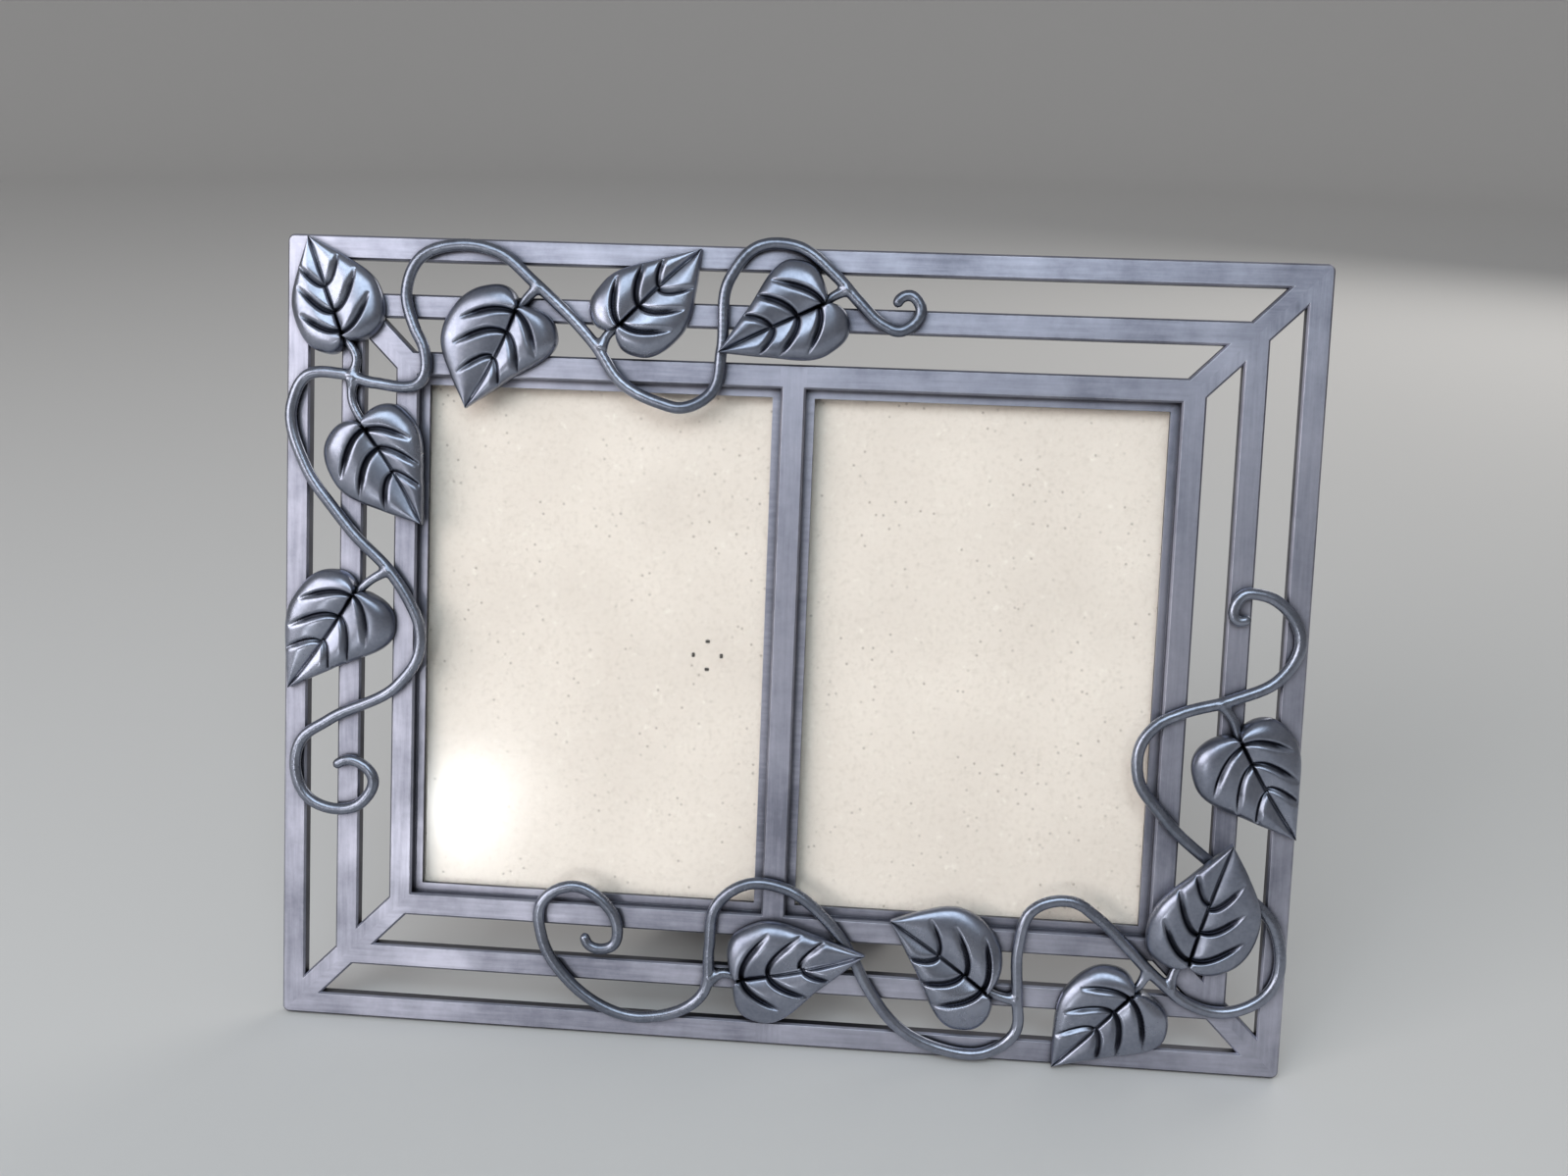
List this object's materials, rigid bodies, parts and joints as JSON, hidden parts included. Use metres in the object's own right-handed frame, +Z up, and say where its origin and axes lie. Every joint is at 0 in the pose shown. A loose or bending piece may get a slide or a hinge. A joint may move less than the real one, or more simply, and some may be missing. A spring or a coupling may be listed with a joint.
{
  "type": "double photo frame",
  "caption": "Free-standing double photo frame for upright prints: an openwork casting of nested bars with vines and leaves, glass, covered back board and easel strut.",
  "frame": {"origin": "on the table, under the middle of the part's bounding box", "axes": "+X to the right as the frame is seen from its front, +Y from front to back, +Z up"},
  "size_m": [0.25, 0.0596, 0.1937],
  "materials": {
    "cast_metal": "antiqued satin, blue-grey on the faces and near black in the grooves",
    "glass": "clear picture glass",
    "board": "matt pale beige board with fine specks",
    "flocked_paper": "matt black flocked paper",
    "hinge_steel": "plain zinc-plated",
    "screw_steel": "plain plated",
    "button_steel": "plain zinc-plated",
    "strut_board": "board covered in black paper"
  },
  "bodies": {
    "panel": {"frame_casting": "cast_metal", "vine_upper_left": "cast_metal", "vine_lower_right": "cast_metal", "leaf_top_left_corner": "cast_metal", "leaf_top_left_inner": "cast_metal", "leaf_top_middle": "cast_metal", "leaf_top_right": "cast_metal", "leaf_left_upper": "cast_metal", "leaf_left_lower": "cast_metal", "leaf_bottom_left": "cast_metal", "leaf_bottom_middle": "cast_metal", "leaf_bottom_right": "cast_metal", "leaf_right_corner": "cast_metal", "leaf_right_upper": "cast_metal", "glass_left": "glass", "glass_right": "glass", "back_board": "board", "back_covering": "flocked_paper", "hinge_fixed_leaf": "hinge_steel", "hinge_pin": "hinge_steel", "button_screws": "screw_steel"},
    "strut": {"strut": "strut_board", "hinge_moving_leaf": "hinge_steel"},
    "turn_button_top_left": {"turn_button_top_left": "button_steel"},
    "turn_button_top_right": {"turn_button_top_right": "button_steel"},
    "turn_button_bottom_left": {"turn_button_bottom_left": "button_steel"},
    "turn_button_bottom_right": {"turn_button_bottom_right": "button_steel"}
  },
  "joints": [
    {"name": "strut_fold", "type": "hinge", "parent": "panel", "child": "strut", "pos_m": [0, 0.00445, 0.08345], "axis": [-1, 0, 0], "range_deg": [0, 30]},
    {"name": "turn_top_left", "type": "hinge", "parent": "panel", "child": "turn_button_top_left", "pos_m": [-0.0474, 0.0216, 0.15925], "axis": [0, 0.9703, -0.2419], "continuous": true},
    {"name": "turn_top_right", "type": "hinge", "parent": "panel", "child": "turn_button_top_right", "pos_m": [0.0474, 0.0216, 0.15925], "axis": [0, 0.9703, -0.2419], "continuous": true},
    {"name": "turn_bottom_left", "type": "hinge", "parent": "panel", "child": "turn_button_bottom_left", "pos_m": [-0.0474, -0.01116, 0.02788], "axis": [0, 0.9703, -0.2419], "continuous": true},
    {"name": "turn_bottom_right", "type": "hinge", "parent": "panel", "child": "turn_button_bottom_right", "pos_m": [0.0474, -0.01116, 0.02788], "axis": [0, 0.9703, -0.2419], "continuous": true}
  ]
}
